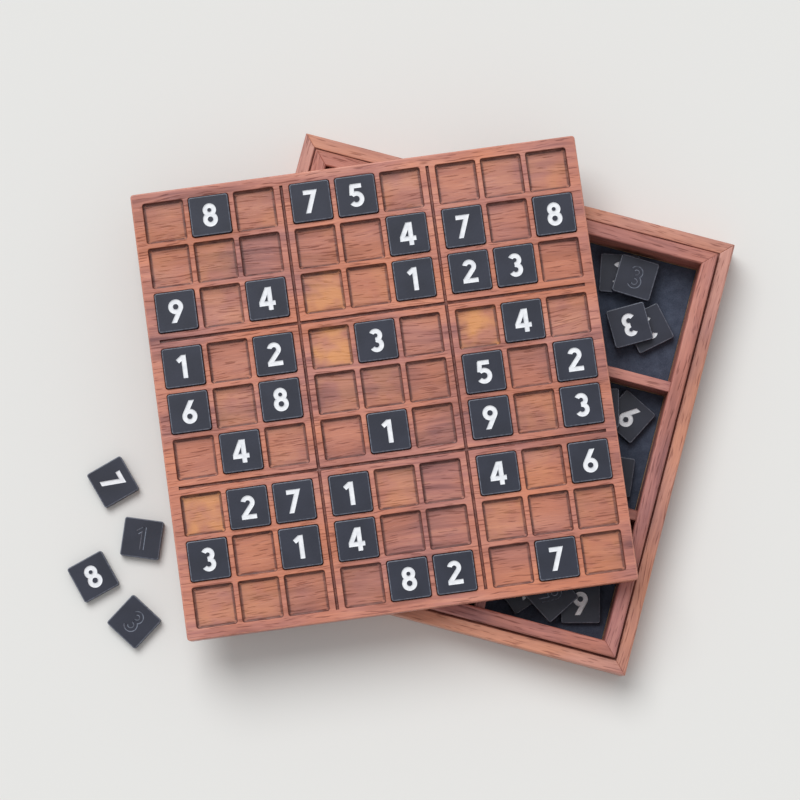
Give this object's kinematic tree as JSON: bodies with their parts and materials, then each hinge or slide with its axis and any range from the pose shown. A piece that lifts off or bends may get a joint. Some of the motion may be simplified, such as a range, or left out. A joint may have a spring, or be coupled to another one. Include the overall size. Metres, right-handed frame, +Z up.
{
  "type": "sudoku board",
  "caption": "Square hardwood sudoku board with routed recesses for loose number tiles, resting askew on its compartment tray, with spare tiles in the tray and beside it.",
  "frame": {"origin": "centre of the tray's underside, on the table", "axes": "+Z up, +X to the tray's right and +Y to its back, along the tray's sides"},
  "size_m": [0.2882, 0.2916, 0.041],
  "materials": {
    "board_wood": "reddish stained hardwood, satin oil",
    "wall_wood": "tan hardwood, satin oil",
    "liner_wood": "pinkish brown hardwood, satin oil",
    "plywood": "plain plywood",
    "felt": "black felt",
    "tile": "dark melamine, satin, with engraved numbers filled in white"
  },
  "bodies": {
    "tray": {"tray_floor": "plywood", "tray_felt": "felt", "tray_wall_front": "wall_wood", "tray_wall_right": "wall_wood", "tray_wall_back": "wall_wood", "tray_wall_left": "wall_wood", "liner_strip_front": "liner_wood", "liner_strip_right": "liner_wood", "liner_strip_back": "liner_wood", "liner_strip_left": "liner_wood", "row_dividers": "liner_wood", "column_dividers": "liner_wood", "stored_tiles_1": "tile", "stored_tiles_2": "tile", "stored_tiles_3": "tile", "stored_tiles_4": "tile", "stored_tiles_5": "tile", "stored_tiles_6": "tile", "stored_tiles_7": "tile", "stored_tiles_8": "tile", "stored_tiles_9": "tile"},
    "board": {"board": "board_wood"},
    "tile_r1c2": {"tile_r1c2": "tile"},
    "tile_r1c4": {"tile_r1c4": "tile"},
    "tile_r1c5": {"tile_r1c5": "tile"},
    "tile_r2c6": {"tile_r2c6": "tile"},
    "tile_r2c7": {"tile_r2c7": "tile"},
    "tile_r2c9": {"tile_r2c9": "tile"},
    "tile_r3c1": {"tile_r3c1": "tile"},
    "tile_r3c3": {"tile_r3c3": "tile"},
    "tile_r3c6": {"tile_r3c6": "tile"},
    "tile_r3c7": {"tile_r3c7": "tile"},
    "tile_r3c8": {"tile_r3c8": "tile"},
    "tile_r4c1": {"tile_r4c1": "tile"},
    "tile_r4c3": {"tile_r4c3": "tile"},
    "tile_r4c5": {"tile_r4c5": "tile"},
    "tile_r4c8": {"tile_r4c8": "tile"},
    "tile_r5c1": {"tile_r5c1": "tile"},
    "tile_r5c3": {"tile_r5c3": "tile"},
    "tile_r5c7": {"tile_r5c7": "tile"},
    "tile_r5c9": {"tile_r5c9": "tile"},
    "tile_r6c2": {"tile_r6c2": "tile"},
    "tile_r6c5": {"tile_r6c5": "tile"},
    "tile_r6c7": {"tile_r6c7": "tile"},
    "tile_r6c9": {"tile_r6c9": "tile"},
    "tile_r7c2": {"tile_r7c2": "tile"},
    "tile_r7c3": {"tile_r7c3": "tile"},
    "tile_r7c4": {"tile_r7c4": "tile"},
    "tile_r7c7": {"tile_r7c7": "tile"},
    "tile_r7c9": {"tile_r7c9": "tile"},
    "tile_r8c1": {"tile_r8c1": "tile"},
    "tile_r8c3": {"tile_r8c3": "tile"},
    "tile_r8c4": {"tile_r8c4": "tile"},
    "tile_r9c5": {"tile_r9c5": "tile"},
    "tile_r9c6": {"tile_r9c6": "tile"},
    "tile_r9c8": {"tile_r9c8": "tile"},
    "loose_tile_7": {"loose_tile_7": "tile"},
    "loose_tile_1": {"loose_tile_1": "tile"},
    "loose_tile_8": {"loose_tile_8": "tile"},
    "loose_tile_3": {"loose_tile_3": "tile"}
  },
  "joints": [
    {"name": "board_lift", "type": "slide", "parent": "tray", "child": "board", "axis": [0, 0, 1], "range_m": [0, 0.08]},
    {"name": "tile_r1c2_lift", "type": "slide", "parent": "board", "child": "tile_r1c2", "axis": [0, 0, 1], "range_m": [0, 0.03]},
    {"name": "tile_r1c4_lift", "type": "slide", "parent": "board", "child": "tile_r1c4", "axis": [0, 0, 1], "range_m": [0, 0.03]},
    {"name": "tile_r1c5_lift", "type": "slide", "parent": "board", "child": "tile_r1c5", "axis": [0, 0, 1], "range_m": [0, 0.03]},
    {"name": "tile_r2c6_lift", "type": "slide", "parent": "board", "child": "tile_r2c6", "axis": [0, 0, 1], "range_m": [0, 0.03]},
    {"name": "tile_r2c7_lift", "type": "slide", "parent": "board", "child": "tile_r2c7", "axis": [0, 0, 1], "range_m": [0, 0.03]},
    {"name": "tile_r2c9_lift", "type": "slide", "parent": "board", "child": "tile_r2c9", "axis": [0, 0, 1], "range_m": [0, 0.03]},
    {"name": "tile_r3c1_lift", "type": "slide", "parent": "board", "child": "tile_r3c1", "axis": [0, 0, 1], "range_m": [0, 0.03]},
    {"name": "tile_r3c3_lift", "type": "slide", "parent": "board", "child": "tile_r3c3", "axis": [0, 0, 1], "range_m": [0, 0.03]},
    {"name": "tile_r3c6_lift", "type": "slide", "parent": "board", "child": "tile_r3c6", "axis": [0, 0, 1], "range_m": [0, 0.03]},
    {"name": "tile_r3c7_lift", "type": "slide", "parent": "board", "child": "tile_r3c7", "axis": [0, 0, 1], "range_m": [0, 0.03]},
    {"name": "tile_r3c8_lift", "type": "slide", "parent": "board", "child": "tile_r3c8", "axis": [0, 0, 1], "range_m": [0, 0.03]},
    {"name": "tile_r4c1_lift", "type": "slide", "parent": "board", "child": "tile_r4c1", "axis": [0, 0, 1], "range_m": [0, 0.03]},
    {"name": "tile_r4c3_lift", "type": "slide", "parent": "board", "child": "tile_r4c3", "axis": [0, 0, 1], "range_m": [0, 0.03]},
    {"name": "tile_r4c5_lift", "type": "slide", "parent": "board", "child": "tile_r4c5", "axis": [0, 0, 1], "range_m": [0, 0.03]},
    {"name": "tile_r4c8_lift", "type": "slide", "parent": "board", "child": "tile_r4c8", "axis": [0, 0, 1], "range_m": [0, 0.03]},
    {"name": "tile_r5c1_lift", "type": "slide", "parent": "board", "child": "tile_r5c1", "axis": [0, 0, 1], "range_m": [0, 0.03]},
    {"name": "tile_r5c3_lift", "type": "slide", "parent": "board", "child": "tile_r5c3", "axis": [0, 0, 1], "range_m": [0, 0.03]},
    {"name": "tile_r5c7_lift", "type": "slide", "parent": "board", "child": "tile_r5c7", "axis": [0, 0, 1], "range_m": [0, 0.03]},
    {"name": "tile_r5c9_lift", "type": "slide", "parent": "board", "child": "tile_r5c9", "axis": [0, 0, 1], "range_m": [0, 0.03]},
    {"name": "tile_r6c2_lift", "type": "slide", "parent": "board", "child": "tile_r6c2", "axis": [0, 0, 1], "range_m": [0, 0.03]},
    {"name": "tile_r6c5_lift", "type": "slide", "parent": "board", "child": "tile_r6c5", "axis": [0, 0, 1], "range_m": [0, 0.03]},
    {"name": "tile_r6c7_lift", "type": "slide", "parent": "board", "child": "tile_r6c7", "axis": [0, 0, 1], "range_m": [0, 0.03]},
    {"name": "tile_r6c9_lift", "type": "slide", "parent": "board", "child": "tile_r6c9", "axis": [0, 0, 1], "range_m": [0, 0.03]},
    {"name": "tile_r7c2_lift", "type": "slide", "parent": "board", "child": "tile_r7c2", "axis": [0, 0, 1], "range_m": [0, 0.03]},
    {"name": "tile_r7c3_lift", "type": "slide", "parent": "board", "child": "tile_r7c3", "axis": [0, 0, 1], "range_m": [0, 0.03]},
    {"name": "tile_r7c4_lift", "type": "slide", "parent": "board", "child": "tile_r7c4", "axis": [0, 0, 1], "range_m": [0, 0.03]},
    {"name": "tile_r7c7_lift", "type": "slide", "parent": "board", "child": "tile_r7c7", "axis": [0, 0, 1], "range_m": [0, 0.03]},
    {"name": "tile_r7c9_lift", "type": "slide", "parent": "board", "child": "tile_r7c9", "axis": [0, 0, 1], "range_m": [0, 0.03]},
    {"name": "tile_r8c1_lift", "type": "slide", "parent": "board", "child": "tile_r8c1", "axis": [0, 0, 1], "range_m": [0, 0.03]},
    {"name": "tile_r8c3_lift", "type": "slide", "parent": "board", "child": "tile_r8c3", "axis": [0, 0, 1], "range_m": [0, 0.03]},
    {"name": "tile_r8c4_lift", "type": "slide", "parent": "board", "child": "tile_r8c4", "axis": [0, 0, 1], "range_m": [0, 0.03]},
    {"name": "tile_r9c5_lift", "type": "slide", "parent": "board", "child": "tile_r9c5", "axis": [0, 0, 1], "range_m": [0, 0.03]},
    {"name": "tile_r9c6_lift", "type": "slide", "parent": "board", "child": "tile_r9c6", "axis": [0, 0, 1], "range_m": [0, 0.03]},
    {"name": "tile_r9c8_lift", "type": "slide", "parent": "board", "child": "tile_r9c8", "axis": [0, 0, 1], "range_m": [0, 0.03]},
    {"name": "loose_tile_7_lift", "type": "slide", "parent": "tray", "child": "loose_tile_7", "axis": [0, 0, 1], "range_m": [0, 0.03]},
    {"name": "loose_tile_1_lift", "type": "slide", "parent": "tray", "child": "loose_tile_1", "axis": [0, 0, 1], "range_m": [0, 0.03]},
    {"name": "loose_tile_8_lift", "type": "slide", "parent": "tray", "child": "loose_tile_8", "axis": [0, 0, 1], "range_m": [0, 0.03]},
    {"name": "loose_tile_3_lift", "type": "slide", "parent": "tray", "child": "loose_tile_3", "axis": [0, 0, 1], "range_m": [0, 0.03]}
  ]
}
